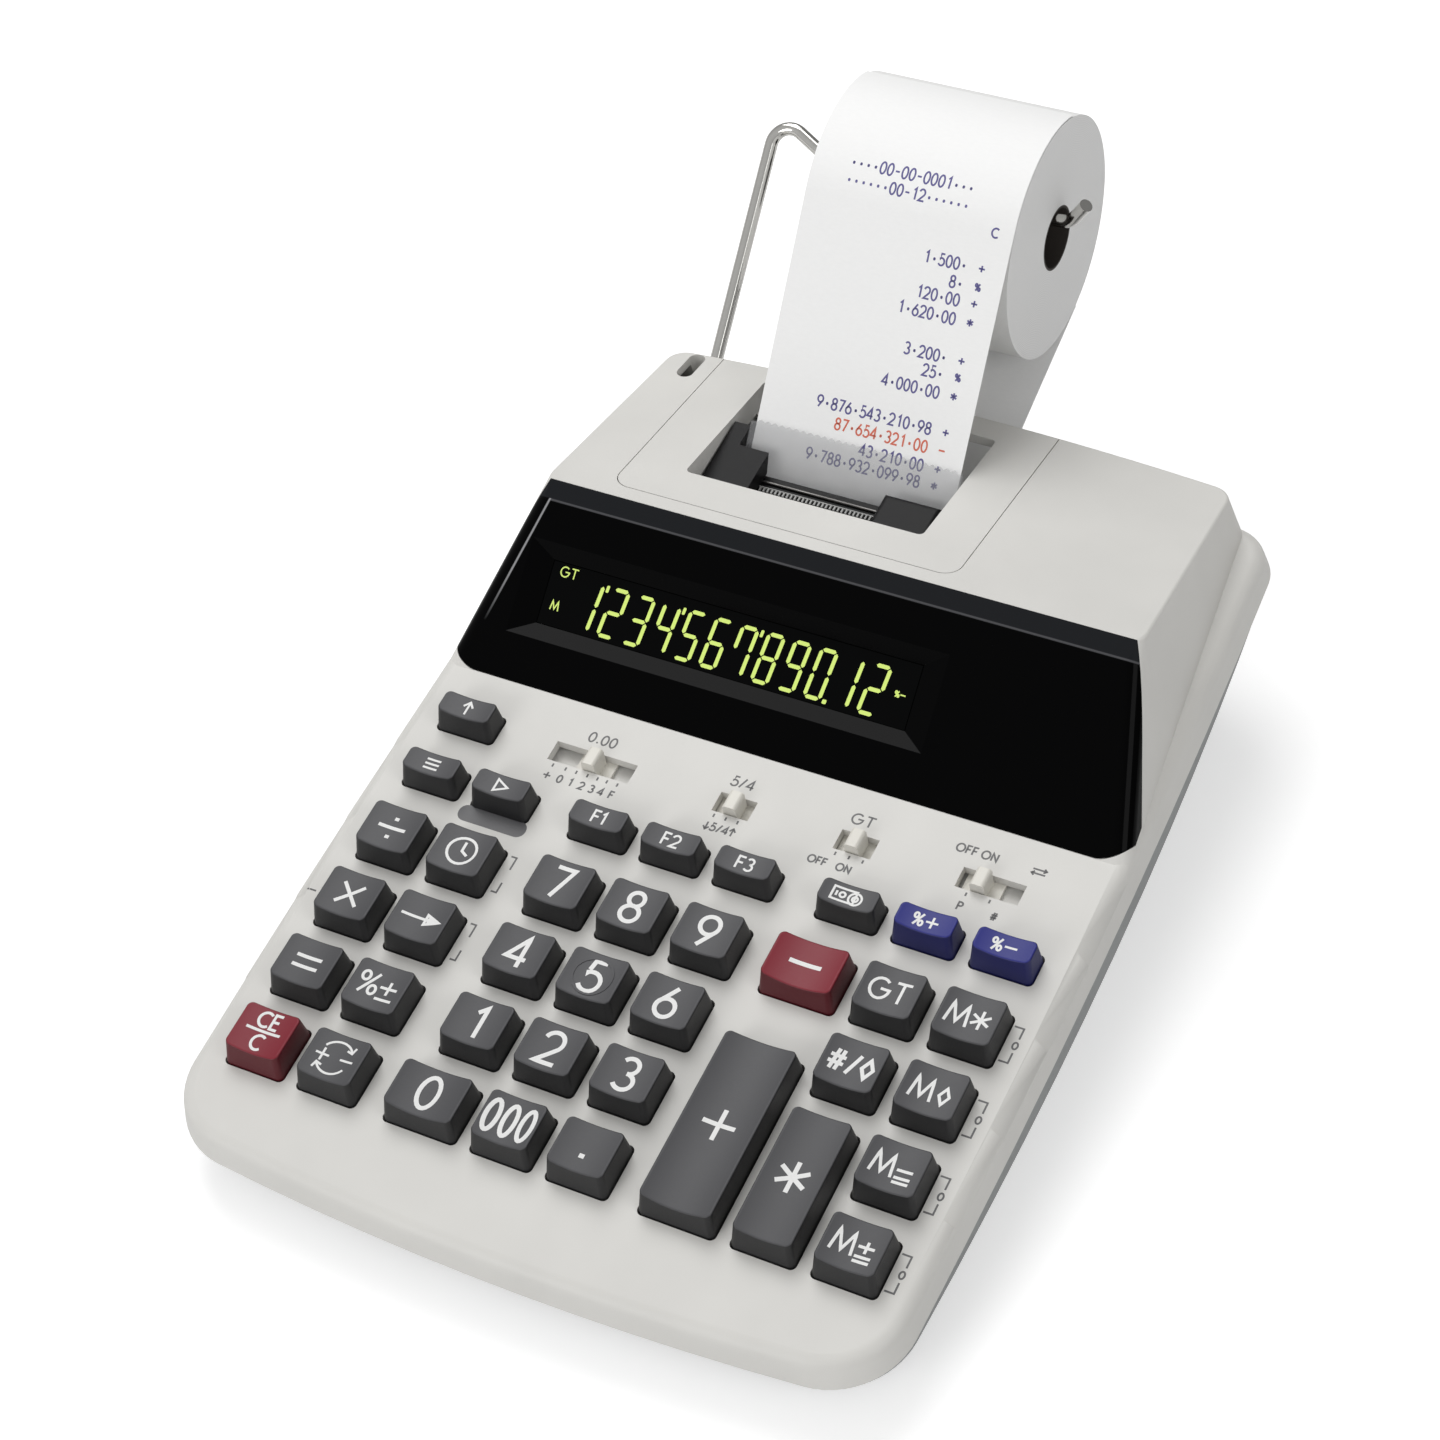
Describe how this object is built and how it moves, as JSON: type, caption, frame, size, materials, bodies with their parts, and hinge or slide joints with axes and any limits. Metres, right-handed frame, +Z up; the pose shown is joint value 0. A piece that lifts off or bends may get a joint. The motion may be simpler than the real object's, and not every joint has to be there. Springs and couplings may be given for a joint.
{
  "type": "printing desk calculator",
  "caption": "Desk calculator with a sloped key deck, tilted display, slide switches and a built-in printer fed by a paper roll on a wire holder.",
  "frame": {"origin": "middle of the bounding box on the table, under the rubber feet", "axes": "+X to the user's right, +Y away from the user towards the paper roll, +Z up"},
  "size_m": [0.1894, 0.3222, 0.1251],
  "materials": {
    "case_light": "fine satin texture",
    "case_grey": "fine satin texture",
    "lens_black": "polished",
    "display_glass": "polished",
    "clear_plastic": "clear",
    "paper": "paper",
    "wire": "bright wire",
    "black_plastic": "moulded",
    "rubber_black": "matte",
    "rubber_grey": "matte",
    "steel": "plain",
    "board_green": "laminate",
    "key_charcoal": "fine satin texture",
    "key_red": "fine satin texture",
    "key_blue": "fine satin texture"
  },
  "bodies": {
    "case": {"case_screws": "steel", "display_lens": "lens_black", "feed_motor": "steel", "key_membrane": "rubber_grey", "lcd_module": "display_glass", "lower_case": "case_grey", "main_board": "board_green", "paper_holder": "wire", "paper_strip": "paper", "power_inlet": "black_plastic", "printer_frame": "black_plastic", "rubber_feet": "rubber_black", "tear_bar": "clear_plastic", "upper_case": "case_light"},
    "key_0": {"key_0": "key_charcoal"},
    "key_000": {"key_000": "key_charcoal"},
    "key_1": {"key_1": "key_charcoal"},
    "key_2": {"key_2": "key_charcoal"},
    "key_3": {"key_3": "key_charcoal"},
    "key_4": {"key_4": "key_charcoal"},
    "key_5": {"key_5": "key_charcoal"},
    "key_6": {"key_6": "key_charcoal"},
    "key_7": {"key_7": "key_charcoal"},
    "key_8": {"key_8": "key_charcoal"},
    "key_9": {"key_9": "key_charcoal"},
    "key_backspace": {"key_backspace": "key_charcoal"},
    "key_clear": {"key_clear": "key_red"},
    "key_cost": {"key_cost": "key_charcoal"},
    "key_count": {"key_count": "key_charcoal"},
    "key_currency": {"key_currency": "key_charcoal"},
    "key_divide": {"key_divide": "key_charcoal"},
    "key_equals": {"key_equals": "key_charcoal"},
    "key_feed": {"key_feed": "key_charcoal"},
    "key_grand_total": {"key_grand_total": "key_charcoal"},
    "key_margin": {"key_margin": "key_charcoal"},
    "key_memory_minus": {"key_memory_minus": "key_charcoal"},
    "key_memory_plus": {"key_memory_plus": "key_charcoal"},
    "key_memory_subtotal": {"key_memory_subtotal": "key_charcoal"},
    "key_memory_total": {"key_memory_total": "key_charcoal"},
    "key_minus": {"key_minus": "key_red"},
    "key_mode": {"key_mode": "key_charcoal"},
    "key_multiply": {"key_multiply": "key_charcoal"},
    "key_percent": {"key_percent": "key_charcoal"},
    "key_plus": {"key_plus": "key_charcoal"},
    "key_point": {"key_point": "key_charcoal"},
    "key_sell": {"key_sell": "key_charcoal"},
    "key_sign": {"key_sign": "key_charcoal"},
    "key_start": {"key_start": "key_charcoal"},
    "key_tax_minus": {"key_tax_minus": "key_blue"},
    "key_tax_plus": {"key_tax_plus": "key_blue"},
    "key_time": {"key_time": "key_charcoal"},
    "key_total": {"key_total": "key_charcoal"},
    "paper_roll": {"paper_roll": "paper"},
    "platen_roller": {"platen_roller": "rubber_black"},
    "print_carriage": {"print_carriage": "black_plastic"},
    "printer_cover": {"printer_cover": "case_light"},
    "switch_decimal": {"switch_decimal": "case_light"},
    "switch_power": {"switch_power": "case_light"},
    "switch_rounding": {"switch_rounding": "case_light"},
    "switch_total": {"switch_total": "case_light"}
  },
  "joints": [
    {"name": "key_mode_press", "type": "slide", "parent": "case", "child": "key_mode", "axis": [0, 0.1219, -0.9925], "range_m": [0, 0.0024], "stiffness_N_per_m": 150, "springref_m": -0.001},
    {"name": "key_start_press", "type": "slide", "parent": "case", "child": "key_start", "axis": [0, 0.1219, -0.9925], "range_m": [0, 0.0024], "stiffness_N_per_m": 150, "springref_m": -0.001},
    {"name": "key_cost_press", "type": "slide", "parent": "case", "child": "key_cost", "axis": [0, 0.1219, -0.9925], "range_m": [0, 0.0024], "stiffness_N_per_m": 150, "springref_m": -0.001},
    {"name": "key_sell_press", "type": "slide", "parent": "case", "child": "key_sell", "axis": [0, 0.1219, -0.9925], "range_m": [0, 0.0024], "stiffness_N_per_m": 150, "springref_m": -0.001},
    {"name": "key_margin_press", "type": "slide", "parent": "case", "child": "key_margin", "axis": [0, 0.1219, -0.9925], "range_m": [0, 0.0024], "stiffness_N_per_m": 150, "springref_m": -0.001},
    {"name": "key_currency_press", "type": "slide", "parent": "case", "child": "key_currency", "axis": [0, 0.1219, -0.9925], "range_m": [0, 0.0024], "stiffness_N_per_m": 150, "springref_m": -0.001},
    {"name": "key_tax_plus_press", "type": "slide", "parent": "case", "child": "key_tax_plus", "axis": [0, 0.1219, -0.9925], "range_m": [0, 0.0024], "stiffness_N_per_m": 150, "springref_m": -0.001},
    {"name": "key_tax_minus_press", "type": "slide", "parent": "case", "child": "key_tax_minus", "axis": [0, 0.1219, -0.9925], "range_m": [0, 0.0024], "stiffness_N_per_m": 150, "springref_m": -0.001},
    {"name": "key_feed_press", "type": "slide", "parent": "case", "child": "key_feed", "axis": [0, 0.1219, -0.9925], "range_m": [0, 0.0024], "stiffness_N_per_m": 150, "springref_m": -0.001},
    {"name": "key_divide_press", "type": "slide", "parent": "case", "child": "key_divide", "axis": [0, 0.1219, -0.9925], "range_m": [0, 0.0024], "stiffness_N_per_m": 150, "springref_m": -0.001},
    {"name": "key_time_press", "type": "slide", "parent": "case", "child": "key_time", "axis": [0, 0.1219, -0.9925], "range_m": [0, 0.0024], "stiffness_N_per_m": 150, "springref_m": -0.001},
    {"name": "key_7_press", "type": "slide", "parent": "case", "child": "key_7", "axis": [0, 0.1219, -0.9925], "range_m": [0, 0.0024], "stiffness_N_per_m": 150, "springref_m": -0.001},
    {"name": "key_8_press", "type": "slide", "parent": "case", "child": "key_8", "axis": [0, 0.1219, -0.9925], "range_m": [0, 0.0024], "stiffness_N_per_m": 150, "springref_m": -0.001},
    {"name": "key_9_press", "type": "slide", "parent": "case", "child": "key_9", "axis": [0, 0.1219, -0.9925], "range_m": [0, 0.0024], "stiffness_N_per_m": 150, "springref_m": -0.001},
    {"name": "key_grand_total_press", "type": "slide", "parent": "case", "child": "key_grand_total", "axis": [0, 0.1219, -0.9925], "range_m": [0, 0.0024], "stiffness_N_per_m": 150, "springref_m": -0.001},
    {"name": "key_memory_total_press", "type": "slide", "parent": "case", "child": "key_memory_total", "axis": [0, 0.1219, -0.9925], "range_m": [0, 0.0024], "stiffness_N_per_m": 150, "springref_m": -0.001},
    {"name": "key_multiply_press", "type": "slide", "parent": "case", "child": "key_multiply", "axis": [0, 0.1219, -0.9925], "range_m": [0, 0.0024], "stiffness_N_per_m": 150, "springref_m": -0.001},
    {"name": "key_backspace_press", "type": "slide", "parent": "case", "child": "key_backspace", "axis": [0, 0.1219, -0.9925], "range_m": [0, 0.0024], "stiffness_N_per_m": 150, "springref_m": -0.001},
    {"name": "key_4_press", "type": "slide", "parent": "case", "child": "key_4", "axis": [0, 0.1219, -0.9925], "range_m": [0, 0.0024], "stiffness_N_per_m": 150, "springref_m": -0.001},
    {"name": "key_5_press", "type": "slide", "parent": "case", "child": "key_5", "axis": [0, 0.1219, -0.9925], "range_m": [0, 0.0024], "stiffness_N_per_m": 150, "springref_m": -0.001},
    {"name": "key_6_press", "type": "slide", "parent": "case", "child": "key_6", "axis": [0, 0.1219, -0.9925], "range_m": [0, 0.0024], "stiffness_N_per_m": 150, "springref_m": -0.001},
    {"name": "key_count_press", "type": "slide", "parent": "case", "child": "key_count", "axis": [0, 0.1219, -0.9925], "range_m": [0, 0.0024], "stiffness_N_per_m": 150, "springref_m": -0.001},
    {"name": "key_memory_subtotal_press", "type": "slide", "parent": "case", "child": "key_memory_subtotal", "axis": [0, 0.1219, -0.9925], "range_m": [0, 0.0024], "stiffness_N_per_m": 150, "springref_m": -0.001},
    {"name": "key_equals_press", "type": "slide", "parent": "case", "child": "key_equals", "axis": [0, 0.1219, -0.9925], "range_m": [0, 0.0024], "stiffness_N_per_m": 150, "springref_m": -0.001},
    {"name": "key_percent_press", "type": "slide", "parent": "case", "child": "key_percent", "axis": [0, 0.1219, -0.9925], "range_m": [0, 0.0024], "stiffness_N_per_m": 150, "springref_m": -0.001},
    {"name": "key_1_press", "type": "slide", "parent": "case", "child": "key_1", "axis": [0, 0.1219, -0.9925], "range_m": [0, 0.0024], "stiffness_N_per_m": 150, "springref_m": -0.001},
    {"name": "key_2_press", "type": "slide", "parent": "case", "child": "key_2", "axis": [0, 0.1219, -0.9925], "range_m": [0, 0.0024], "stiffness_N_per_m": 150, "springref_m": -0.001},
    {"name": "key_3_press", "type": "slide", "parent": "case", "child": "key_3", "axis": [0, 0.1219, -0.9925], "range_m": [0, 0.0024], "stiffness_N_per_m": 150, "springref_m": -0.001},
    {"name": "key_memory_minus_press", "type": "slide", "parent": "case", "child": "key_memory_minus", "axis": [0, 0.1219, -0.9925], "range_m": [0, 0.0024], "stiffness_N_per_m": 150, "springref_m": -0.001},
    {"name": "key_clear_press", "type": "slide", "parent": "case", "child": "key_clear", "axis": [0, 0.1219, -0.9925], "range_m": [0, 0.0024], "stiffness_N_per_m": 150, "springref_m": -0.001},
    {"name": "key_sign_press", "type": "slide", "parent": "case", "child": "key_sign", "axis": [0, 0.1219, -0.9925], "range_m": [0, 0.0024], "stiffness_N_per_m": 150, "springref_m": -0.001},
    {"name": "key_000_press", "type": "slide", "parent": "case", "child": "key_000", "axis": [0, 0.1219, -0.9925], "range_m": [0, 0.0024], "stiffness_N_per_m": 150, "springref_m": -0.001},
    {"name": "key_point_press", "type": "slide", "parent": "case", "child": "key_point", "axis": [0, 0.1219, -0.9925], "range_m": [0, 0.0024], "stiffness_N_per_m": 150, "springref_m": -0.001},
    {"name": "key_memory_plus_press", "type": "slide", "parent": "case", "child": "key_memory_plus", "axis": [0, 0.1219, -0.9925], "range_m": [0, 0.0024], "stiffness_N_per_m": 150, "springref_m": -0.001},
    {"name": "key_minus_press", "type": "slide", "parent": "case", "child": "key_minus", "axis": [0, 0.1219, -0.9925], "range_m": [0, 0.0024], "stiffness_N_per_m": 150, "springref_m": -0.001},
    {"name": "key_plus_press", "type": "slide", "parent": "case", "child": "key_plus", "axis": [0, 0.1219, -0.9925], "range_m": [0, 0.0024], "stiffness_N_per_m": 150, "springref_m": -0.001},
    {"name": "key_total_press", "type": "slide", "parent": "case", "child": "key_total", "axis": [0, 0.1219, -0.9925], "range_m": [0, 0.0024], "stiffness_N_per_m": 150, "springref_m": -0.001},
    {"name": "key_0_press", "type": "slide", "parent": "case", "child": "key_0", "axis": [0, 0.1219, -0.9925], "range_m": [0, 0.0024], "stiffness_N_per_m": 150, "springref_m": -0.001},
    {"name": "switch_decimal_slide", "type": "slide", "parent": "case", "child": "switch_decimal", "axis": [1, 0, 0], "range_m": [-0.0095, 0.0088]},
    {"name": "switch_rounding_slide", "type": "slide", "parent": "case", "child": "switch_rounding", "axis": [1, 0, 0], "range_m": [-0.0028, 0.0028]},
    {"name": "switch_total_slide", "type": "slide", "parent": "case", "child": "switch_total", "axis": [1, 0, 0], "range_m": [-0.0028, 0.0028]},
    {"name": "switch_power_slide", "type": "slide", "parent": "case", "child": "switch_power", "axis": [1, 0, 0], "range_m": [-0.0036, 0.0082]},
    {"name": "printer_cover_hinge", "type": "hinge", "parent": "case", "child": "printer_cover", "pos_m": [-0.017, 0.08855, 0.05652], "axis": [-1, 0, 0], "range_deg": [0, 70]},
    {"name": "paper_roll_spin", "type": "hinge", "parent": "case", "child": "paper_roll", "pos_m": [-0.0142, 0.12965, 0.0931], "axis": [1, 0, 0], "continuous": true},
    {"name": "platen_spin", "type": "hinge", "parent": "case", "child": "platen_roller", "pos_m": [-0.0142, 0.05578, 0.04071], "axis": [1, 0, 0], "continuous": true},
    {"name": "print_carriage_slide", "type": "slide", "parent": "case", "child": "print_carriage", "axis": [1, 0, 0], "range_m": [-0.03, 0]}
  ],
  "couplings": [
    {"joint": "platen_spin", "follows": "paper_roll_spin", "ratio": 5.25}
  ]
}
